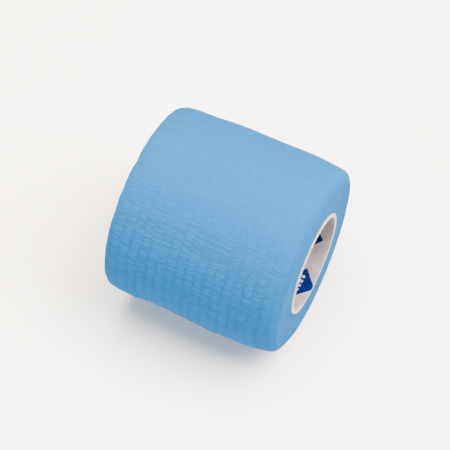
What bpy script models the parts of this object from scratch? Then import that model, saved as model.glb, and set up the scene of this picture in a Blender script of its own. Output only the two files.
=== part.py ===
"""A roll of cohesive bandage: elastic nonwoven tape wound on a paper core, lying on its side.

The roll's axis runs along X, and Z = 0 is the small flat spot that the roll lies on.
An angle round the roll is measured from the top, positive towards -Y.
"""

import math
from collections import namedtuple

import bmesh
import bpy
from mathutils import Matrix, Vector

MM = 0.001

# The tape and how it is wound.
TAPE_WIDTH = 50.8 * MM                  # a two inch tape
HALF_WIDTH = TAPE_WIDTH / 2
LAYER = 0.4 * MM                        # one thickness of tape, so the step at its cut end
ROLL_RADIUS = 28.08 * MM                # half way along the roll
CROWN = 0.0087                          # the share of its radius that the roll loses at both ends
TAPER = 0.0106                          # the share that it gains to the right and loses to the left
FLAT_DEPTH = 0.45 * MM                  # how far the roll's own weight presses its underside flat

# The elastic yarns lie round the roll, and each draws the tape in along a narrow line.
YARN_PITCH = 2.78 * MM
YARN_LINES = 18
FIRST_YARN = 1.3 * MM                   # from the tape's left edge
YARN_DRAW = 0.18 * MM
YARN_FLANK = 0.55 * MM
YARN_FADE = 2.5 * MM                    # the lines grow faint this near the tape's edges

# The core, a spiral wound paper tube that stands a little proud of both ends of the cloth.
CORE_LENGTH = 51.6 * MM
CORE_RADIUS = 15.2 * MM
CORE_WALL = 1.5 * MM
CORE_EASE = 0.2 * MM                    # the soft corner that a knife leaves on cut paper
CLEARANCE = 0.3 * MM
BORE_RADIUS = CORE_RADIUS + CLEARANCE

# How finely the round shapes are cut.
AROUND = 64
CUT_COLUMN = -19                        # the tape's cut end lies across the back of the roll
CUT_GAP = math.radians(0.6)             # the cut end falls by one layer within this angle
FACE_RINGS = 2
COLUMN_ANGLE = 2 * math.pi / AROUND

# Towards each end the turns slide off each other, so the roll is rounder there.
Shoulder = namedtuple("Shoulder", "length drop squareness rim rim_steps")
LEFT_SHOULDER = Shoulder(length=7.5 * MM, drop=1.0 * MM, squareness=2.22, rim=0.7 * MM, rim_steps=3)
RIGHT_SHOULDER = Shoulder(length=14.2 * MM, drop=2.8 * MM, squareness=2.16, rim=1.6 * MM, rim_steps=4)

# Soft swells and hollows in the wound cloth, and the ends' drift in and out round the roll.
Swell = namedtuple("Swell", "along around half_length half_arc height")
SWELLS = (
    Swell(along=-8.5 * MM, around=-56, half_length=8.5 * MM, half_arc=38, height=0.37 * MM),
    Swell(along=16.0 * MM, around=-56, half_length=5.0 * MM, half_arc=34, height=-0.10 * MM),
    Swell(along=-10.0 * MM, around=115, half_length=7.5 * MM, half_arc=26, height=-0.42 * MM),
    Swell(along=6.5 * MM, around=115, half_length=3.2 * MM, half_arc=26, height=0.30 * MM),
    Swell(along=25.0 * MM, around=112, half_length=2.5 * MM, half_arc=24, height=0.20 * MM),
)
Drift = namedtuple("Drift", "side around half_arc out")
DRIFTS = (
    Drift(side=-1, around=-15, half_arc=28, out=-0.22 * MM),
    Drift(side=-1, around=65, half_arc=35, out=0.25 * MM),
    Drift(side=1, around=-105, half_arc=25, out=-0.14 * MM),
    Drift(side=1, around=140, half_arc=12, out=-0.14 * MM),
    Drift(side=1, around=-178, half_arc=25, out=0.12 * MM),
)
DRIFT_START = 15 * MM                   # the roll's middle keeps its place


def clear_scene():
    for item in list(bpy.data.objects):
        bpy.data.objects.remove(item, do_unlink=True)


def make_material(name, colour, roughness):
    material = bpy.data.materials.new(name)
    material.use_nodes = True
    shader = material.node_tree.nodes["Principled BSDF"]
    shader.inputs["Base Color"].default_value = (*colour, 1.0)
    shader.inputs["Roughness"].default_value = roughness
    shader.inputs["Metallic"].default_value = 0.0
    return material


def add_piece(name, mesh_builder, material):
    mesh = bpy.data.meshes.new(name)
    mesh_builder.to_mesh(mesh)
    mesh_builder.free()
    mesh.shade_smooth()
    mesh.set_sharp_from_angle(angle=math.radians(40))
    mesh.materials.append(material)
    piece = bpy.data.objects.new(name, mesh)
    bpy.context.scene.collection.objects.link(piece)
    return piece


def turn_outline(outline):
    """Spins a closed outline of (place along the axis, radius) pairs once round the X axis."""
    turned = bmesh.new()
    corners = [turned.verts.new((along, 0.0, radius)) for along, radius in outline]
    sides = [turned.edges.new((start, end)) for start, end in zip(corners, corners[1:] + corners[:1])]
    bmesh.ops.spin(turned, geom=corners + sides, cent=(0, 0, 0), axis=(1, 0, 0), dvec=(0, 0, 0),
                   angle=2 * math.pi, steps=AROUND, use_merge=True, use_duplicate=False)
    bmesh.ops.recalc_face_normals(turned, faces=turned.faces)
    return turned


def bell(distance):
    """A soft bump: 1 in the middle, about a third at a distance of 1, and then nothing."""
    return math.exp(-distance ** 2)


def arc_between(angle, middle):
    """The angle in degrees between two directions round the roll, at most half a turn."""
    return (angle - middle + 180) % 360 - 180


def barrel_radius(along):
    share = along / HALF_WIDTH
    return ROLL_RADIUS * (1 - CROWN * share ** 2 + TAPER * share)


def shoulder_at(along):
    return RIGHT_SHOULDER if along > 0 else LEFT_SHOULDER


def shoulder_fall(along):
    """How far the turns have fallen away from the barrel, on a quarter of a squarish oval."""
    shoulder = shoulder_at(along)
    start = HALF_WIDTH - shoulder.length
    share = min(max((abs(along) - start) / shoulder.length, 0.0), 1.0)
    left_over = (1 - share ** shoulder.squareness) ** (1 / shoulder.squareness)
    return shoulder.drop * (1 - left_over)


def yarn_places():
    return [FIRST_YARN - HALF_WIDTH + YARN_PITCH * line for line in range(YARN_LINES)]


def yarn_draw(along):
    nearest = min(abs(along - place) for place in yarn_places())
    fade = min(1.0, (HALF_WIDTH - abs(along)) / YARN_FADE)
    return YARN_DRAW * fade * max(0.0, 1 - nearest / YARN_FLANK)


def cloth_radius(along):
    return barrel_radius(along) - shoulder_fall(along) - yarn_draw(along)


def cloth_stations():
    """The places along the roll where its outline bends: the yarn lines, their flanks and the rims."""
    stations = []
    for place in yarn_places():
        stations += [place - YARN_FLANK, place, place + YARN_FLANK]
    for side, shoulder in ((-1, LEFT_SHOULDER), (1, RIGHT_SHOULDER)):
        for step in range(1, shoulder.rim_steps + 1):
            lean = math.pi / 2 * step / shoulder.rim_steps
            stations.append(side * (HALF_WIDTH - shoulder.rim + shoulder.rim * math.sin(lean)))
    return sorted(stations)


def cloth_outline():
    """Half a section of the wound cloth: out along the left end, over the turns, in along the right."""
    outline = [(-HALF_WIDTH, BORE_RADIUS)]
    rim = cloth_radius(-HALF_WIDTH)
    for ring in range(1, FACE_RINGS + 1):
        outline.append((-HALF_WIDTH, BORE_RADIUS + (rim - BORE_RADIUS) * ring / (FACE_RINGS + 1)))
    outline += [(along, cloth_radius(along)) for along in cloth_stations()]
    rim = cloth_radius(HALF_WIDTH)
    for ring in range(FACE_RINGS, 0, -1):
        outline.append((HALF_WIDTH, BORE_RADIUS + (rim - BORE_RADIUS) * ring / (FACE_RINGS + 1)))
    outline.append((HALF_WIDTH, BORE_RADIUS))
    return outline


def winding_rise(column):
    """The winding is a spiral: it gains a layer in each turn and loses it at the tape's cut end."""
    return LAYER * ((column - CUT_COLUMN) % AROUND / AROUND - 0.5)


def swell_height(along, degrees):
    return sum(swell.height
               * bell((along - swell.along) / swell.half_length)
               * bell(arc_between(degrees, swell.around) / swell.half_arc)
               for swell in SWELLS)


def end_drift(along, degrees):
    side = math.copysign(1, along)
    reach = max(0.0, (abs(along) - DRIFT_START) / (HALF_WIDTH - DRIFT_START))
    drift = sum(drift.out * bell(arc_between(degrees, drift.around) / drift.half_arc)
                for drift in DRIFTS if drift.side == side)
    return side * reach * drift


def settle_cloth(turned):
    """Moves the even turned shape to that of a real roll: spiral, uneven, and flat underneath."""
    for corner in turned.verts:
        along, radius = corner.co.x, math.hypot(corner.co.y, corner.co.z)
        angle = math.atan2(-corner.co.y, corner.co.z)
        column = round(angle / COLUMN_ANGLE)
        if (column - CUT_COLUMN) % AROUND == AROUND - 1:
            angle = CUT_COLUMN * COLUMN_ANGLE - CUT_GAP
        degrees = math.degrees(angle)
        outness = (radius - BORE_RADIUS) / (cloth_radius(along) - BORE_RADIUS)
        radius += outness * (winding_rise(column) + swell_height(along, degrees))
        corner.co.x = along + outness * end_drift(along, degrees)
        corner.co.y = -radius * math.sin(angle)
        corner.co.z = max(radius * math.cos(angle), FLAT_DEPTH - ROLL_RADIUS)


def make_bandage():
    """The wound cloth, one closed body with a bore for the core."""
    turned = turn_outline(cloth_outline())
    settle_cloth(turned)
    cloth = make_material("bandage_cloth", colour=(0.105, 0.335, 0.590), roughness=0.85)
    return add_piece("bandage_roll", turned, cloth)


def make_core():
    """The paper tube, with its corners eased."""
    half, outer, inner = CORE_LENGTH / 2, CORE_RADIUS, CORE_RADIUS - CORE_WALL
    outline = [
        (-half, inner + CORE_EASE), (-half, outer - CORE_EASE),
        (-half + CORE_EASE, outer), (half - CORE_EASE, outer),
        (half, outer - CORE_EASE), (half, inner + CORE_EASE),
        (half - CORE_EASE, inner), (-half + CORE_EASE, inner),
    ]
    paper = make_material("core_paper", colour=(0.735, 0.680, 0.620), roughness=0.75)
    return add_piece("paper_core", turn_outline(outline), paper)


def rest_on_origin(pieces):
    """Puts the origin under the middle of the whole roll, at the level of its flat spot."""
    points = [corner.co for piece in pieces for corner in piece.data.vertices]
    low = Vector([min(point[axis] for point in points) for axis in range(3)])
    high = Vector([max(point[axis] for point in points) for axis in range(3)])
    foot = Vector(((low.x + high.x) / 2, (low.y + high.y) / 2, low.z))
    for piece in pieces:
        piece.data.transform(Matrix.Translation(-foot))


clear_scene()
rest_on_origin([make_bandage(), make_core()])
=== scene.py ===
import math

import bmesh
import bpy
import numpy as np
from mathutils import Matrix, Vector


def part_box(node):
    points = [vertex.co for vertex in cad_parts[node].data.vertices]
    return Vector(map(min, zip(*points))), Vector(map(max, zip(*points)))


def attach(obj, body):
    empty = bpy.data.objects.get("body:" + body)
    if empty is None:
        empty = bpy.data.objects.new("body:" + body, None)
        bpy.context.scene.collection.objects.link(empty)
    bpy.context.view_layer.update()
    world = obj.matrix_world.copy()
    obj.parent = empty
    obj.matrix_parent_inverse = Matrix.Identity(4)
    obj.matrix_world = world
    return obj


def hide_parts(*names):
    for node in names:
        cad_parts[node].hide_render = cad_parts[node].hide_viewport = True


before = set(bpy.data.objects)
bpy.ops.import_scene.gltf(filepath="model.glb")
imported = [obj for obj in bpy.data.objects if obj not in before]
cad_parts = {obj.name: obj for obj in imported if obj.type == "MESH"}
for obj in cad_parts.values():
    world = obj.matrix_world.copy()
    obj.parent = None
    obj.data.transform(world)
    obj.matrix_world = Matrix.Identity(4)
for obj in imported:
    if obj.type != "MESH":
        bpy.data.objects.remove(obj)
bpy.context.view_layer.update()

# The paper core: a tube wound from four plies of cream paper and cut square with a knife. The first
# turns of tape grip it, and it stands a little proud of them at both ends, so its cut rims show.
MM = 0.001
core_low, core_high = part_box("paper_core")
AXIS = (core_low + core_high) / 2
CORE_HALF = (core_high.x - core_low.x) / 2
GRIP = 0.2 * MM                         # how far the first turns close over the core's outside
CORE_RADIUS = (core_high.z - core_low.z) / 2 - GRIP
CORE_WALL = 1.3 * MM
CORE_BORE = CORE_RADIUS - CORE_WALL
PLIES = 4
PLY = CORE_WALL / PLIES
RIM_EASE = 0.10 * MM                    # how far a cut rim's corners are worn round
# In rim eases: the bore's corner, how far every other ply stands back, and the line between plies.
BORE_CORNER = (0.35, 0.4)
PLY_BACK = 0.15
PLY_LINE = 0.55
PLY_FLAT = (0.28, 0.78)                 # of a ply, the flat part of its cut edge
BORE_ROWS = 20
BORE_REACH = 0.985                      # of the half length, where the bore gives way to the rim
CORE_STEPS = 180
SEAM_PITCH = 34 * MM                    # how far the spiral seam travels in one turn
SEAM_HALF = 0.9 * MM                    # half the width of the groove along it
SEAM_DEPTH = 0.05 * MM
OUT_OF_ROUND = 0.05 * MM
AT_RIM = 0.9                            # of the half length, past which the knife's strays count
KNIFE_WAVE = 0.05 * MM                  # how far the knife strayed from a square cut
KNIFE_MARKS = 0.02 * MM


def core_section():
    """The tube's closed section as (place along the axis, radius): bore, rim, outside, rim."""
    bore = [CORE_HALF * (2 * row / BORE_ROWS - 1) * BORE_REACH for row in range(BORE_ROWS + 1)]
    section = [(along, CORE_BORE) for along in bore]
    rim = [(BORE_CORNER[0] * RIM_EASE, CORE_BORE + BORE_CORNER[1] * RIM_EASE)]
    for ply in range(PLIES):
        start = CORE_BORE + ply * PLY
        inset = 0.0 if ply % 2 else PLY_BACK * RIM_EASE
        rim += [(inset, start + share * PLY) for share in PLY_FLAT]
        if ply < PLIES - 1:
            rim.append((PLY_LINE * RIM_EASE, start + PLY))
    rim.append((RIM_EASE, CORE_RADIUS))
    section += [(CORE_HALF - inset, radius) for inset, radius in rim]
    section += [(CORE_HALF * place, CORE_RADIUS) for place in (0.5, 0.0, -0.5)]
    section += [(inset - CORE_HALF, radius) for inset, radius in reversed(rim)]
    return section


def ripple(angle, counts, seed):
    """A smooth uneven wave that closes on itself after one turn, from -1 to 1 or so."""
    draw = np.random.default_rng(seed)
    waves = [draw.uniform(0.5, 1.0) * np.sin(count * angle + draw.uniform(0, 2 * math.pi))
             for count in counts]
    return sum(waves) / math.sqrt(len(counts))


def points_of(mesh):
    places = np.empty(len(mesh.vertices) * 3)
    mesh.vertices.foreach_get("co", places)
    return places.reshape(-1, 3)


def move_points(mesh, places):
    mesh.vertices.foreach_set("co", np.ascontiguousarray(places, dtype=np.float32).ravel())
    mesh.update()


def round_the_axis(along, angle, radius):
    """Points at a place along the roll's axis; the angle starts at the top and grows towards -Y."""
    return np.stack([AXIS.x + along, AXIS.y - radius * np.sin(angle),
                     AXIS.z + radius * np.cos(angle)], axis=-1)


core_maker = bmesh.new()
corners = [core_maker.verts.new((along, 0.0, radius)) for along, radius in core_section()]
sides = [core_maker.edges.new(pair) for pair in zip(corners, corners[1:] + corners[:1])]
bmesh.ops.spin(core_maker, geom=corners + sides, cent=(0, 0, 0), axis=(1, 0, 0), dvec=(0, 0, 0),
               angle=2 * math.pi, steps=CORE_STEPS, use_merge=True, use_duplicate=False)
bmesh.ops.recalc_face_normals(core_maker, faces=core_maker.faces)
core_mesh = bpy.data.meshes.new("core_tube")
core_maker.to_mesh(core_mesh)
core_maker.free()

even = points_of(core_mesh)
along, radius = even[:, 0], np.hypot(even[:, 1], even[:, 2])
angle = np.arctan2(-even[:, 1], even[:, 2])
to_seam = (angle / (2 * math.pi) - along / SEAM_PITCH + 0.5) % 1.0 - 0.5
seam_step = SEAM_DEPTH * np.exp(-(to_seam * SEAM_PITCH / SEAM_HALF) ** 2)
radius = radius - seam_step * np.where(radius < CORE_BORE + 0.5 * PLY, -1.0, 1.0)
radius = radius + OUT_OF_ROUND * ripple(angle, (2, 3, 5), seed=11)
knife_wave = KNIFE_WAVE * ripple(angle, (1, 2, 4, 9), seed=12)
knife_wave = knife_wave + KNIFE_MARKS * ripple(angle, (23, 37, 51), seed=13)
at_rim = np.abs(along) > AT_RIM * CORE_HALF
along = along - np.sign(along) * np.abs(knife_wave) * at_rim
move_points(core_mesh, round_the_axis(along, angle, radius))
core_mesh.shade_smooth()
core_tube = bpy.data.objects.new("core_tube", core_mesh)
bpy.context.scene.collection.objects.link(core_tube)
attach(core_tube, "root")
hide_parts("paper_core")


class Wire:
    """A number on its way through a finish; arithmetic on it adds Math nodes."""

    def __init__(self, finish, socket):
        self.finish = finish
        self.socket = socket

    def other(self, name):
        """Another output of the same node."""
        return Wire(self.finish, self.socket.node.outputs[name])

    def math(self, operation, *values):
        return self.finish.node("ShaderNodeMath", {"operation": operation}, dict(enumerate(values)))

    def __add__(self, value):
        return self.math("ADD", self, value)

    def __radd__(self, value):
        return self.math("ADD", value, self)

    def __sub__(self, value):
        return self.math("SUBTRACT", self, value)

    def __rsub__(self, value):
        return self.math("SUBTRACT", value, self)

    def __mul__(self, value):
        return self.math("MULTIPLY", self, value)

    def __truediv__(self, value):
        return self.math("DIVIDE", self, value)

    def __abs__(self):
        return self.math("ABSOLUTE", self)

    def fraction(self):
        return self.math("FRACT", self)

    def rounded(self):
        return self.math("ROUND", self)

    def fade(self, start, end):
        """Goes smoothly from 0 at the first value to 1 at the second."""
        return self.finish.node("ShaderNodeMapRange", {"interpolation_type": "SMOOTHSTEP"},
                                {"Value": self, "From Min": start, "From Max": end})


class Finish:
    """A material whose nodes are written as expressions."""

    def __init__(self, name):
        self.material = bpy.data.materials.new(name)
        self.material.use_nodes = True
        self.links = self.material.node_tree.links
        self.shader = self.material.node_tree.nodes["Principled BSDF"]

    def node(self, kind, settings=None, sockets=None, output=0):
        made = self.material.node_tree.nodes.new(kind)
        for setting, value in (settings or {}).items():
            setattr(made, setting, value)
        for socket, value in (sockets or {}).items():
            self.feed(made.inputs[socket], value)
        return Wire(self, made.outputs[output])

    def feed(self, socket, value):
        if isinstance(value, Wire):
            self.links.new(value.socket, socket)
        else:
            socket.default_value = value

    def surface(self, **values):
        """Sets or links the shader's own sockets; an underscore in a name stands for a space."""
        for name, value in values.items():
            self.feed(self.shader.inputs[name.replace("_", " ")], value)

    def mixed(self, share, first, second):
        """A colour between two others, where the share is 0 for the first and 1 for the second."""
        return self.node("ShaderNodeMix", {"data_type": "RGBA"},
                         {0: share, 6: first, 7: second}, output=2)

    def specks(self, place, scale, detail=3.0):
        """Noise of about 1 / scale metres, from 0 to 1."""
        return self.node("ShaderNodeTexNoise", {},
                         {"Vector": place, "Scale": scale, "Detail": detail, "Roughness": 0.55})

    def stretched(self, place, turn, scale):
        """A place turned about its third axis and scaled, for noise that is longer one way."""
        return self.node("ShaderNodeMapping", {},
                         {"Vector": place, "Rotation": (0, 0, turn), "Scale": scale})

    def bump(self, height, distance):
        return self.node("ShaderNodeBump", {}, {"Height": height, "Distance": distance})


# The core's finish: uncoated paper, cream at the cut rims and darker and greyer inside the bore, as
# painted shade.
# The ply that lines the bore has rows of plain navy lozenges, printed before the tube was wound.
RIM_PAPER = (0.545, 0.490, 0.415, 1)
RIM_SHADE = (0.480, 0.425, 0.355, 1)
# Painted shade: the bore's paper is darker and greyer than the rim's, for the shade inside the tube.
SHADED_BORE_PAPER = (0.385, 0.356, 0.380, 1)
SHADED_BORE_MOTTLE = (0.310, 0.286, 0.305, 1)
INK = (0.004, 0.022, 0.130, 1)
INK_PALE = (0.300, 0.330, 0.520, 1)
LOZENGES_ROUND = 6
LOZENGE_ROWS = 13.2 * MM                # between rows, along the core
FIRST_ROW = 22.0 * MM                   # the middle of the row at the right mouth
ROW_STAGGER = 0.22                      # of the distance between rows
LOZENGE_ARC = 5.0 * MM                  # half its length round the core
LOZENGE_LONG = 4.4 * MM                 # half its length along the core
INK_EDGE = (1.03, 0.97)                 # of the lozenge's size, from bare paper to full ink
INK_BLEED = 0.16
LINING_EDGE = (CORE_BORE + 0.3 * MM, CORE_BORE + 0.15 * MM)
# A row of small pale squares crosses each lozenge: each square's sides, and the row's ends.
SQUARE_PITCH = 1.5 * MM
SQUARE_SIDES = (0.34, 0.26)             # of the pitch, from ink to square
SQUARE_ENDS = (0.55 * MM, 0.42 * MM)
SQUARES_END = (3.2 * MM, 3.0 * MM)
PAPER_ROUGH = 0.78
INK_SHEEN = 0.10                        # how much smoother the ink is than the paper
PAPER_GRAIN = 0.05 * MM

paper = Finish("core_paper_wound")
spot = paper.node("ShaderNodeTexCoord", output="Object")
spot = paper.node("ShaderNodeVectorMath", {"operation": "SUBTRACT"}, {0: spot, 1: AXIS})
paper_x = paper.node("ShaderNodeSeparateXYZ", {}, {0: spot})
turned = paper_x.math("ARCTAN2", 0.0 - paper_x.other("Y"), paper_x.other("Z")) / (2 * math.pi)
from_axis = paper.node("ShaderNodeVectorMath", {"operation": "MULTIPLY"}, {0: spot, 1: (0, 1, 1)})
from_axis = paper.node("ShaderNodeVectorMath", {"operation": "LENGTH"}, {0: from_axis}, output="Value")
bleed = (paper.specks(spot, 2600) - 0.5) * INK_BLEED
lozenge_turn = turned * LOZENGES_ROUND
even_column = 1 - (lozenge_turn.rounded() * 0.5).fraction() * 2
side_arc = abs(lozenge_turn - lozenge_turn.rounded()) * (2 * math.pi * CORE_BORE / LOZENGES_ROUND)
row_place = (paper_x - FIRST_ROW + even_column * (ROW_STAGGER * LOZENGE_ROWS)) / LOZENGE_ROWS
side_along = abs(row_place - row_place.rounded()) * LOZENGE_ROWS
lozenge = side_arc / LOZENGE_ARC + side_along / LOZENGE_LONG + bleed
in_bore = from_axis.fade(*LINING_EDGE)
inked = lozenge.fade(*INK_EDGE) * in_bore
to_square = (side_arc * (1 / SQUARE_PITCH)).fraction() - 0.5
squares = abs(to_square).fade(*SQUARE_SIDES) * side_along.fade(*SQUARE_ENDS)
squares = squares * side_arc.fade(*SQUARES_END)
pulp = paper.specks(spot, 420, detail=5)
grain = paper.specks(paper.stretched(spot, 0.4, (700, 2600, 2600)), 1.0, detail=4)
clean = (pulp * 0.7 + grain * 0.3).fade(0.35, 0.75)
rim_colour = paper.mixed(clean, RIM_SHADE, RIM_PAPER)
# Painted shade inside the bore: the paper there is darker.
shaded_bore_colour = paper.mixed(clean, SHADED_BORE_MOTTLE, SHADED_BORE_PAPER)
paper_colour = paper.mixed(in_bore, rim_colour, shaded_bore_colour)
ink_colour = paper.mixed(squares, INK, INK_PALE)
paper.surface(Base_Color=paper.mixed(inked, paper_colour, ink_colour),
              Roughness=PAPER_ROUGH - inked * INK_SHEEN,
              Specular_IOR_Level=0.2,
              Normal=paper.bump(grain * 0.6 + pulp * 0.4, PAPER_GRAIN))
core_mesh.materials.append(paper.material)


# The winding's form, which all its turns share: two inch tape laid turn on turn. Its right shoulder is
# soft and its left one squarer, and its own weight presses it flat where it lies.
TAPE_HALF = 25.4 * MM
LAYER = 0.4 * MM
FLAT_DEPTH = 0.45 * MM
ROLL_RADIUS = AXIS.z + FLAT_DEPTH
CROWN = 0.0087                          # of the radius, how much both ends fall away
TAPER = 0.0106                          # of the radius, how much larger it is at the right end
FIRST_TURN = CORE_RADIUS - 0.04 * MM    # the first turn bites a little into the paper
CUT_END = -19 * 2 * math.pi / 64        # the tape is cut off across the back of the roll
LEFT_SHOULDER = {"length": 7.5 * MM, "drop": 1.0 * MM, "squareness": 2.22}
RIGHT_SHOULDER = {"length": 10.8 * MM, "drop": 1.85 * MM, "squareness": 1.5}
# How far the turns' edges curl over into each end: along the roll, and down into the turns.
LEFT_CURL = (0.5 * MM, 0.5 * MM)
RIGHT_CURL = (2.3 * MM, 2.0 * MM)
# Each swell: place along, direction in degrees, half length, half arc in degrees, height.
SWELLS = (
    (-8.5 * MM, -56, 8.5 * MM, 38, 0.37 * MM),
    (16.0 * MM, -56, 5.0 * MM, 34, -0.10 * MM),
    (-10.0 * MM, 115, 7.5 * MM, 26, -0.42 * MM),
    (6.5 * MM, 115, 3.2 * MM, 26, 0.18 * MM),
    (25.0 * MM, 112, 2.5 * MM, 24, 0.20 * MM),
    (24.5 * MM, -85, 3.0 * MM, 45, 0.34 * MM),
    (24.5 * MM, 80, 3.0 * MM, 40, -0.30 * MM),
    (2.0 * MM, -56, 18.0 * MM, 30, 0.16 * MM),
    (-24.0 * MM, 95, 4.0 * MM, 30, 0.22 * MM),
    (-12.0 * MM, 116, 8.0 * MM, 22, -0.12 * MM),
    (-21.8 * MM, -60, 4.0 * MM, 28, 0.36 * MM),
    (-24.0 * MM, 112, 3.0 * MM, 16, 0.12 * MM),
    (-18.0 * MM, 112, 3.2 * MM, 20, 0.24 * MM),
)
# Each drift of an end: side, direction in degrees, half arc in degrees, how far it stands out.
ALL_ROUND = 9999
DRIFTS = (
    (-1, -15, 28, -0.22 * MM),
    (-1, 65, 35, 0.15 * MM),
    (1, -105, 25, -0.14 * MM),
    (1, 140, 12, -0.14 * MM),
    (1, -178, 25, 0.12 * MM),
    (1, 0, ALL_ROUND, 0.26 * MM),
    (-1, 0, ALL_ROUND, 0.26 * MM),
    (-1, 12, 4.5, -0.28 * MM),
    (-1, 30, 2.4, -0.16 * MM),
    (-1, 44, 5, -0.14 * MM),
    (-1, 87, 9, 0.08 * MM),
    (1, -45, 30, 0.30 * MM),
)
DRIFT_START = 15 * MM                   # from the middle, where a drift begins
STEEPEST = 0.2                          # the least cosine for which the floor presses


def bell(distance):
    return np.exp(-distance ** 2)


def arc_between(angle, degrees):
    return (np.degrees(angle) - degrees + 180) % 360 - 180


def shoulder_fall(along, side, length, drop, squareness):
    share = np.clip((side * along - TAPE_HALF + length) / length, 0, 1)
    return drop * (1 - (1 - share ** squareness) ** (1 / squareness))


def roll_outside(along, angle):
    """The winding's outer radius at a place along it and a direction, before spiral and crinkles."""
    share = along / TAPE_HALF
    outside = ROLL_RADIUS * (1 - CROWN * share ** 2 + TAPER * share)
    outside = outside - shoulder_fall(along, -1, **LEFT_SHOULDER)
    outside = outside - shoulder_fall(along, 1, **RIGHT_SHOULDER)
    for place, degrees, half_length, half_arc, height in SWELLS:
        swell = height * bell((along - place) / half_length)
        outside = outside + swell * bell(arc_between(angle, degrees) / half_arc)
    return outside


def end_drift(along, angle):
    """How far the ends of the roll wander in and out round it."""
    reach = np.clip((np.abs(along) - DRIFT_START) / (TAPE_HALF - DRIFT_START), 0, 1)
    drift = 0.0
    for side, degrees, half_arc, out in DRIFTS:
        drift = drift + out * bell(arc_between(angle, degrees) / half_arc) * (np.sign(along) == side)
    return np.sign(along) * reach * drift


def curled(along, radius, outside):
    """Rounds off both outer corners of the winding, where the edges of the turns curl over."""
    for side, (reach, deep) in ((-1, LEFT_CURL), (1, RIGHT_CURL)):
        out_along = 1 - (TAPE_HALF - side * along) / reach
        out_round = 1 - (outside - radius) / deep
        far = np.hypot(out_along, out_round)
        at_corner = (out_along > 0) & (out_round > 0)
        kept = np.where(at_corner, np.maximum(out_along, out_round) / np.maximum(far, 1e-9), 1)
        along = along - side * reach * out_along * (1 - kept)
        radius = radius - deep * out_round * (1 - kept)
    return along, radius


def pressed(radius, outside, angle):
    """Squeezes the turns below the axis so that the roll lies on a flat spot."""
    down = -np.cos(angle)
    floor_radius = (ROLL_RADIUS - FLAT_DEPTH) / np.maximum(down, STEEPEST)
    squeeze = np.clip((floor_radius - FIRST_TURN) / (outside - FIRST_TURN), 0, 1)
    return FIRST_TURN + (radius - FIRST_TURN) * squeeze


def tape_grid(name, steps, across):
    """A flat grid of tape: its columns go along the tape and its rows round the tape's section."""
    maker = bmesh.new()
    bmesh.ops.create_grid(maker, x_segments=steps, y_segments=across, size=0.5)
    mesh = bpy.data.meshes.new(name)
    maker.to_mesh(mesh)
    maker.free()
    flat = points_of(mesh)
    step = np.rint((flat[:, 0] + 0.5) * steps).astype(int)
    place = np.rint((flat[:, 1] + 0.5) * across).astype(int)
    return mesh, step, place


def close_tape(mesh):
    """Joins the grid's long edges into a closed section and fills both ends of the tape."""
    maker = bmesh.new()
    maker.from_mesh(mesh)
    bmesh.ops.remove_doubles(maker, verts=maker.verts, dist=1e-7)
    open_sides = [edge for edge in maker.edges if edge.is_boundary]
    bmesh.ops.holes_fill(maker, edges=open_sides, sides=0)
    bmesh.ops.recalc_face_normals(maker, faces=maker.faces)
    maker.to_mesh(mesh)
    maker.free()


def mark_points(mesh, name, values):
    """Keeps a number, or a place, for each point, which the finish reads."""
    kind = "FLOAT_VECTOR" if np.ndim(values) == 2 else "FLOAT"
    layer = mesh.attributes.new(name, kind, "POINT")
    layer.data.foreach_set("vector" if kind == "FLOAT_VECTOR" else "value",
                           np.ascontiguousarray(values, dtype=np.float32).ravel())


# The inner turns: thirty three turns of one long strip, whose edges make the fine lines on both ends.
# The roll is slit to width after winding, so its turns lie all but flush there, a hair in or out.
INNER_TURNS = 33
ALL_TURNS = INNER_TURNS + 1
STEPS_A_TURN = 140
SNUG = 0.98                             # of its room, how much of it a turn fills
AT_EDGE = 0.9                           # of the half width, where a turn's edge begins
EDGE_WANDER = 0.009 * MM                # how far an edge stands in or out, slowly over some turns
EDGE_RIPPLE = 0.008 * MM                # and within each turn
EDGE_TURNS = 7.3                        # in how many turns the slow waves repeat
SMOOTH_UP_TO = math.radians(30)
# Between the cloth's deep and light blues: the ends' mean, how far it swings, and in how many turns.
TINT, TINT_SWING, TINT_TURNS = 0.55, 0.25, 5.1
# The strip's section: place along in tape halves, and depth, 0 on its outer face and 1 on its inner.
STRIP_FACE = (-0.9990, -0.88, -0.70, 0.44, 0.75, 0.92, 0.9990)
STRIP_EDGE = ((0.9998, 0.10), (0.9998, 0.90))
strip_section = [(place, 0.0) for place in STRIP_FACE] + list(STRIP_EDGE)
strip_section += [(place, 1.0) for place in reversed(STRIP_FACE)]
strip_section += [(-place, depth) for place, depth in reversed(STRIP_EDGE)]
strip_section.append(strip_section[0])

inner_mesh, step, place = tape_grid("wound_turns", INNER_TURNS * STEPS_A_TURN, len(strip_section) - 1)
section = np.array(strip_section)[place]
turn = step / STEPS_A_TURN
angle = CUT_END + turn * 2 * math.pi
along, depth = section[:, 0] * TAPE_HALF, section[:, 1]
outside = roll_outside(along, angle)
room = (outside - FIRST_TURN) / ALL_TURNS
radius = FIRST_TURN + np.maximum(room * (turn + SNUG / 2 - depth * SNUG), 0)
at_edge = np.abs(section[:, 0]) > AT_EDGE
edge_shift = EDGE_WANDER * ripple(angle / EDGE_TURNS, (9, 17, 31, 47), seed=21)
edge_shift = edge_shift + EDGE_RIPPLE * ripple(angle, (5, 13, 29), seed=22)
drift = end_drift(along, angle) * (turn + 1) / ALL_TURNS + at_edge * np.sign(along) * edge_shift
along, radius = curled(along, radius, outside + LAYER * (turn % 1.0 - 0.5))
along = along + drift
radius = pressed(radius, outside, angle)
move_points(inner_mesh, round_the_axis(along, angle, radius))
unwound = turn * 2 * math.pi * (FIRST_TURN + ROLL_RADIUS) / 2
mark_points(inner_mesh, "tape", np.stack([unwound, along, depth * LAYER], axis=-1))
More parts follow.
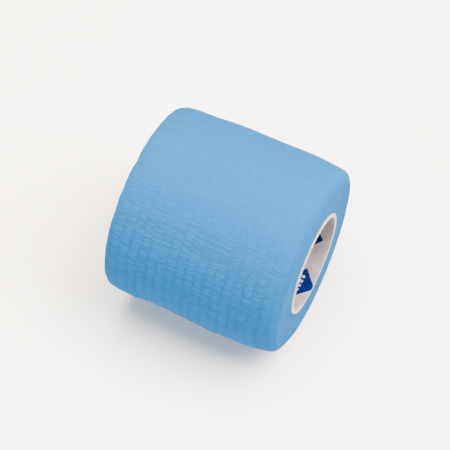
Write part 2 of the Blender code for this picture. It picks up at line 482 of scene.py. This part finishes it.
tint = TINT + TINT_SWING * ripple(angle / TINT_TURNS, (7, 13, 29), seed=23)
mark_points(inner_mesh, "tint_and_crease_shading", tint)
close_tape(inner_mesh)
inner_mesh.shade_smooth()
inner_mesh.set_sharp_from_angle(angle=SMOOTH_UP_TO)
wound_turns = bpy.data.objects.new("wound_turns", inner_mesh)
bpy.context.scene.collection.objects.link(wound_turns)
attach(wound_turns, "root")
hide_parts("bandage_roll")


# The outer turn: the last turn of tape, which shows its weave. Elastic yarns along the tape draw it in
# to straight lines, and between them the slack web crinkles across, in thin uneven ridges.
OUTER_STEPS = 1020                      # in one turn
TUCKED_STEPS = 18                       # how far the turn starts before the cut end, under it
YARN_PITCH = 2.78 * MM
YARNS = 18
FIRST_YARN = 1.3 * MM - TAPE_HALF
YARN_DRAW = 0.10 * MM                   # how deep a yarn draws the web in
YARN_HALF = 0.30 * MM
YARN_SWAY = 0.09 * MM                   # how far a yarn wanders to its sides
YARN_CELLS = 96                         # how often round the roll a yarn's pull changes
CRINKLE_ROWS = 172                      # ridges round the roll
CRINKLE_PITCH = 2 * math.pi * ROLL_RADIUS / CRINKLE_ROWS
CRINKLE_HEIGHT = 0.105 * MM
CRINKLE_HALF = 0.25 * MM
CRINKLE_MEAN = 0.35                     # of a ridge's height, the level that the web keeps
CRINKLE_BOW = 0.22                      # of a ridge's pitch, how far its middle hangs
CREST_POWER = 1.6                       # how sharply a ridge's sides fall
PINCH_POWER = 0.35                      # how suddenly a yarn pinches a ridge's ends
LEFT_FADE = 1.8 * MM                    # the crinkles die out this near the tape's edges
RIGHT_FADE = 4.5 * MM
RIM_BAND = 1.2 * MM                     # along each edge of the tape, where it waves
RIM_WAVE = 0.05 * MM
LOW_WAVE = 0.04 * MM                    # slow waves in the web, and how long they are across it
LOW_WAVE_LONG = 3.1 * MM
TIGHT_MIDDLE, TIGHT_HALF, TIGHT_FADE = -25, 45, 45      # in degrees, where the web is wound tight
SLACKEST, SLACKEST_HALF = 60, 36        # in degrees, where it is slackest
TUCK_FADE = 60                          # the crinkles grow over one part in so many of the turn
CUT_REACH = 3.0 * MM                    # how far from the cut end the tape begins to lift
CUT_LIFT = 0.14 * MM
CUT_WANDER = 0.32 * MM                  # how far the scissors strayed


def outer_places():
    """Places across the tape's outer face, close together at each yarn and at both edges."""
    places = []
    for yarn in range(YARNS):
        start = FIRST_YARN + yarn * YARN_PITCH
        places += [start + YARN_PITCH * share for share in (0.0, 0.12, 0.50, 0.88)]
    places = [place for place in places if abs(place) < TAPE_HALF - RIM_BAND]
    rims = [TAPE_HALF - inset * MM for inset in (0.95, 0.65, 0.40, 0.22, 0.1)]
    return sorted(places + rims + [-rim for rim in rims])


def soft_noise(rows, columns, passes, seed):
    """Random numbers that change gently from cell to cell and close on themselves down the rows."""
    cells = np.random.default_rng(seed).normal(size=(rows, columns))
    for way in passes:
        if way == "down":
            cells = (np.roll(cells, 1, axis=0) + 2 * cells + np.roll(cells, -1, axis=0)) / 4
        else:
            sides = np.pad(cells, ((0, 0), (1, 1)), mode="edge")
            cells = (sides[:, :-2] + 2 * cells + sides[:, 2:]) / 4
    return cells / cells.std()


# How each ridge strays, in pitches: all along it, then between two yarns, as a step and as a tilt.
BOTH = ("down", "across")
meander = 0.55 * soft_noise(CRINKLE_ROWS, YARNS + 2, BOTH * 2, seed=31)
own_offset = 0.25 * soft_noise(CRINKLE_ROWS, YARNS + 1, (), seed=32)
own_slope = -0.22 + 0.28 * soft_noise(CRINKLE_ROWS, YARNS + 1, (), seed=34)
# How high each ridge stands: all along it, then between two yarns.
swelling = 0.68 + 0.20 * soft_noise(CRINKLE_ROWS, YARNS + 2, ("across",), seed=33)
swelling = np.clip(swelling, 0.35, 1.0)
own_size = np.clip(1.0 + 0.24 * soft_noise(CRINKLE_ROWS, YARNS + 1, (), seed=42), 0.5, 1.35)
# How hard each yarn pulls the web in round the roll, and how far it sways.
pull = np.clip(0.70 + 0.40 * soft_noise(YARN_CELLS, YARNS, ("down",) * 2, seed=38), 0.0, 1.2)
sway = YARN_SWAY * soft_noise(YARN_CELLS, YARNS, ("down",) * 6, seed=39)


def looseness(angle):
    """How slack the web lies between its yarns, from 0 at the top, where it is wound tight, to 1."""
    rise = np.clip((np.abs(arc_between(angle, TIGHT_MIDDLE)) - TIGHT_HALF) / TIGHT_FADE, 0, 1)
    return rise * rise * (3 - 2 * rise)


def crinkle_height(along, angle):
    """The web's crinkles, from 0 between ridges to about 1 on a ridge's crest."""
    column = np.floor((along - FIRST_YARN) / YARN_PITCH).astype(int)
    across = (along - FIRST_YARN) / YARN_PITCH - column
    column = np.clip(column + 1, 0, YARNS)
    row_place = angle / (2 * math.pi) * CRINKLE_ROWS
    loose = looseness(angle)
    height = np.zeros_like(along)
    for near in (-2, -1, 0, 1, 2, 3):
        row = np.floor(row_place).astype(int) + near
        ridge, next_ridge = (row % CRINKLE_ROWS, column), (row % CRINKLE_ROWS, column + 1)
        crest = row + meander[ridge] * (1 - across) + meander[next_ridge] * across
        crest = crest + CRINKLE_BOW * (1 - (2 * across - 1) ** 2)
        crest = crest + (0.4 + 0.6 * loose) * (own_offset[ridge] + own_slope[ridge] * (across - 0.5))
        size = own_size[ridge] * (swelling[ridge] * (1 - across) + swelling[next_ridge] * across)
        distance = np.abs(row_place - crest) * CRINKLE_PITCH / CRINKLE_HALF
        height = np.maximum(height, size * np.exp(-distance ** CREST_POWER))
    pinched = np.sin(math.pi * np.clip(across, 0, 1)) ** PINCH_POWER
    return height * (1 - (1 - pinched) * (0.35 + 0.65 * loose))


def of_yarn(values, along, angle):
    """Values kept for each yarn and each cell round the roll, at the yarn nearest to each point."""
    yarn = np.clip(np.rint((along - FIRST_YARN) / YARN_PITCH).astype(int), 0, YARNS - 1)
    cell = angle / (2 * math.pi) * YARN_CELLS
    first = np.floor(cell).astype(int)
    share = cell - first
    here, after = values[first % YARN_CELLS, yarn], values[(first + 1) % YARN_CELLS, yarn]
    return here * (1 - share) + after * share


def yarn_line(along):
    """1 on an elastic yarn and 0 beside it."""
    to_yarn = (along - FIRST_YARN) / YARN_PITCH
    to_yarn = np.abs(to_yarn - np.rint(to_yarn)) * YARN_PITCH
    return bell(to_yarn / YARN_HALF)


# The turn's section: place along and depth, 0 on its outer face and 1 on its inner.
rim = [(TAPE_HALF - 0.03 * MM, 0.25), (TAPE_HALF, 0.5), (TAPE_HALF - 0.04 * MM, 0.8)]
outer_section = [(place, 0.0) for place in outer_places()] + rim
outer_section += [(share * TAPE_HALF, 1.0) for share in (0.995, 0.80, 0.44, 0.0, -0.70, -0.995)]
outer_section += [(-place, depth) for place, depth in reversed(rim)]
outer_section.append(outer_section[0])

outer_mesh, step, place = tape_grid("outer_turn", OUTER_STEPS + TUCKED_STEPS, len(outer_section) - 1)
section = np.array(outer_section)[place]
turn = (step - TUCKED_STEPS) / OUTER_STEPS
angle = CUT_END + turn * 2 * math.pi
along, depth = section[:, 0], section[:, 1]
outside = roll_outside(along, angle)
room = (outside - FIRST_TURN) / ALL_TURNS
fade = np.clip((TAPE_HALF + along) / LEFT_FADE, 0, 1)
fade = fade * np.clip((TAPE_HALF - along) / RIGHT_FADE, 0, 1)
fade = fade * np.clip(turn * TUCK_FADE, 0, 1)
loose = looseness(angle)
slackness = 0.30 + 0.66 * bell(arc_between(angle, SLACKEST) / SLACKEST_HALF) + 0.30 * loose
slackness = slackness + 0.10 * ripple(angle, (3, 5, 8), seed=37)
crinkle = crinkle_height(along, angle)
drawn_in = yarn_line(along) * of_yarn(pull, along, angle) * (0.25 + 0.75 * loose)
relief = CRINKLE_HEIGHT * slackness * (crinkle - CRINKLE_MEAN) * fade - YARN_DRAW * drawn_in * fade
low_wave = LOW_WAVE * ripple(angle, (9, 14, 22), seed=35) * np.sin(along / LOW_WAVE_LONG)
relief = relief + low_wave * fade
relief = np.where(depth > 0, 0, relief)
radius = outside + LAYER * (turn - 0.5) - depth * room + relief
edge_wave = RIM_WAVE * ripple(angle, (6, 11, 19, 33), seed=36)
edge_wave = edge_wave * (np.abs(along) > TAPE_HALF - RIM_BAND)
drift = end_drift(along, angle) + np.sign(along) * edge_wave
outside = outside + LAYER * (turn - 0.5)
swayed = of_yarn(sway, along, angle) * loose * fade
to_cut = np.clip(1 - (1 - turn) * 2 * math.pi * ROLL_RADIUS / CUT_REACH, 0, 1)
along_cut = math.pi * section[:, 0] / TAPE_HALF
cut_wander = CUT_WANDER * ripple(along_cut, (1, 2, 4), seed=40)
cut_shift = cut_wander * to_cut ** 2 / ROLL_RADIUS
radius = radius + CUT_LIFT * to_cut ** 2 * (0.7 + 0.3 * ripple(along_cut, (2, 5), seed=41))
along, radius = curled(along, radius, outside)
along = along + drift + swayed
radius = pressed(radius, outside, angle)
places = round_the_axis(along, angle + cut_shift, radius)
places[:, 2] = np.maximum(places[:, 2], 0.0)
move_points(outer_mesh, places)
unwound = turn * 2 * math.pi * ROLL_RADIUS
mark_points(outer_mesh, "tape", np.stack([unwound, along, depth * LAYER], axis=-1))
# Painted shade and highlight: darker between the ridges and along the drawn-in yarns, lighter on the
# ridges' crests.
crest = 0.5 + 0.7 * (crinkle - 0.4) * slackness * fade - 0.30 * drawn_in * fade
mark_points(outer_mesh, "tint_and_crease_shading", np.clip(crest, 0, 1))
mark_points(outer_mesh, "slack", loose * fade)
close_tape(outer_mesh)
outer_mesh.shade_smooth()
outer_turn = bpy.data.objects.new("outer_turn", outer_mesh)
bpy.context.scene.collection.objects.link(outer_turn)
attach(outer_turn, "root")
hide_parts("bandage_roll")


# The cloth's finish: a thin nonwoven web of matted fibres, light blue, dipped so that it clings to
# itself.
# Fine wrinkles run across it between the ridges; its colour is darker in the creases, as painted
# shade, and lighter on the crests, as painted highlight.
# On the outer turn the deep blue is painted shade in the creases and along the yarns, and the light
# blue is a painted highlight on the crests; on the inner turns the two make a random tint.
CLOTH_DEEP = (0.027, 0.134, 0.304, 1)
CLOTH_LIGHT = (0.041, 0.179, 0.371, 1)
CLOTH_FIBRE = (0.051, 0.204, 0.405, 1)
CLOTH_ROUGH = 0.80
WEB_ROUGH = 0.10                        # how much rougher the web's fibres are
CLOTH_GRAIN = 0.10 * MM
# The layers of matted fibres: the turn of each in radians, and how fine it is across its fibres.
FIBRE_LAYERS = ((0.35, 990), (1.45, 1080), (2.55, 1170))

cloth = Finish("bandage_web")
tape = cloth.node("ShaderNodeAttribute", {"attribute_name": "tape"}, output="Vector")
tint_and_crease_shading = cloth.node("ShaderNodeAttribute", {"attribute_name": "tint_and_crease_shading"}, output="Fac")
matted = 0.0
for turn_of_fibres, fibre_scale in FIBRE_LAYERS:
    laid = cloth.stretched(tape, turn_of_fibres, (fibre_scale, 5200, 900))
    matted = matted + cloth.specks(laid, 1.0, detail=3.0) * (1 / len(FIBRE_LAYERS))
cloudy = cloth.specks(tape, 520, detail=4)
wrinkles = cloth.specks(cloth.stretched(tape, 0.0, (1350, 720, 1)), 1.0, detail=2.0)
slack = cloth.node("ShaderNodeAttribute", {"attribute_name": "slack"}, output="Fac")
height = wrinkles * (1.1 + slack * 0.5) + matted * 0.35 + cloudy * 0.3
web = matted.fade(0.38, 0.62)
# Painted shade and highlight on the outer turn, a random tint on the inner turns.
colour = cloth.mixed(tint_and_crease_shading, CLOTH_DEEP, CLOTH_LIGHT)
colour = cloth.mixed(web * cloudy.fade(0.3, 0.7) * 0.4, colour, CLOTH_FIBRE)
cloth.surface(Base_Color=colour,
              Roughness=CLOTH_ROUGH + web * WEB_ROUGH,
              Normal=cloth.bump(height, CLOTH_GRAIN),
              Specular_IOR_Level=0.06)
inner_mesh.materials.append(cloth.material)
outer_mesh.materials.append(cloth.material)


# The studio: a white table in an even white surround. Two warm soft boxes hang overhead, one of them
# to the right, and a plain weak one stands at the front left. The tone curve is a camera's firm one.
TABLE_WHITE = (0.90, 0.90, 0.90, 1)
TABLE_GLOW = 0.03
TABLE_HALF = 6.0
SURROUND_GLOW = 0.39
WARM = (1.0, 0.865, 0.720)
MILD = (1.0, 0.920, 0.860)
PLAIN = (1.0, 1.0, 1.0)

floor_maker = bmesh.new()
bmesh.ops.create_grid(floor_maker, x_segments=1, y_segments=1, size=TABLE_HALF)
floor_mesh = bpy.data.meshes.new("studio_floor")
floor_maker.to_mesh(floor_mesh)
floor_maker.free()
studio_floor = bpy.data.objects.new("studio_floor", floor_mesh)
bpy.context.scene.collection.objects.link(studio_floor)
table_white = Finish("studio_white")
table_white.surface(Base_Color=TABLE_WHITE,
                    Roughness=0.9,
                    Specular_IOR_Level=0.0,
                    Emission_Color=(1.0, 1.0, 1.0, 1),
                    Emission_Strength=TABLE_GLOW)
floor_mesh.materials.append(table_white.material)

surround = bpy.data.worlds.new("studio_surround")
surround.use_nodes = True
surround.node_tree.nodes["Background"].inputs["Color"].default_value = (1.0, 1.0, 1.0, 1)
surround.node_tree.nodes["Background"].inputs["Strength"].default_value = SURROUND_GLOW
bpy.context.scene.world = surround
bpy.context.scene.view_settings.view_transform = "AgX"
bpy.context.scene.view_settings.look = "AgX - High Contrast"


def soft_box(name, place, size, power, colour):
    """A square soft box that faces the roll."""
    lamp = bpy.data.lights.new(name, "AREA")
    lamp.size = size
    lamp.energy = power
    lamp.color = colour
    light = bpy.data.objects.new(name, lamp)
    light.location = AXIS + Vector(place)
    light.rotation_euler = (-Vector(place)).to_track_quat("-Z", "Y").to_euler()
    bpy.context.scene.collection.objects.link(light)


soft_box("overhead_soft_box", place=(0.0, 0.12, 0.80), size=0.70, power=12.9, colour=WARM)
soft_box("right_soft_box", place=(0.45, 0.12, 0.65), size=0.50, power=8.8, colour=MILD)
soft_box("front_soft_box", place=(-0.50, -0.65, 0.30), size=0.60, power=4.0, colour=PLAIN)

# The camera looks down on the roll from the front right, as in the photograph.
CAMERA_AZIMUTH = math.radians(25.28)
CAMERA_ELEVATION = math.radians(58.73)
CAMERA_DISTANCE = 420.4 * MM
CAMERA_LENS = 119.93                    # in millimetres, on a sensor 36 wide
CAMERA_SENSOR = 36.0
AIM_RIGHT = -1.60 * MM                  # the aim, seen from the camera, off the roll's middle
AIM_UP = 1.25 * MM

back = Vector((math.sin(CAMERA_AZIMUTH) * math.cos(CAMERA_ELEVATION),
               -math.cos(CAMERA_AZIMUTH) * math.cos(CAMERA_ELEVATION),
               math.sin(CAMERA_ELEVATION)))
right = (-back).cross(Vector((0, 0, 1))).normalized()
up = right.cross(-back)
lens = bpy.data.cameras.new("studio_camera")
lens.lens = CAMERA_LENS
lens.sensor_width = CAMERA_SENSOR
lens.clip_start = 10 * MM
camera = bpy.data.objects.new("studio_camera", lens)
camera.location = AXIS + back * CAMERA_DISTANCE
aim = AXIS + right * AIM_RIGHT + up * AIM_UP
camera.rotation_euler = (aim - camera.location).to_track_quat("-Z", "Y").to_euler()
bpy.context.scene.collection.objects.link(camera)
bpy.context.scene.camera = camera
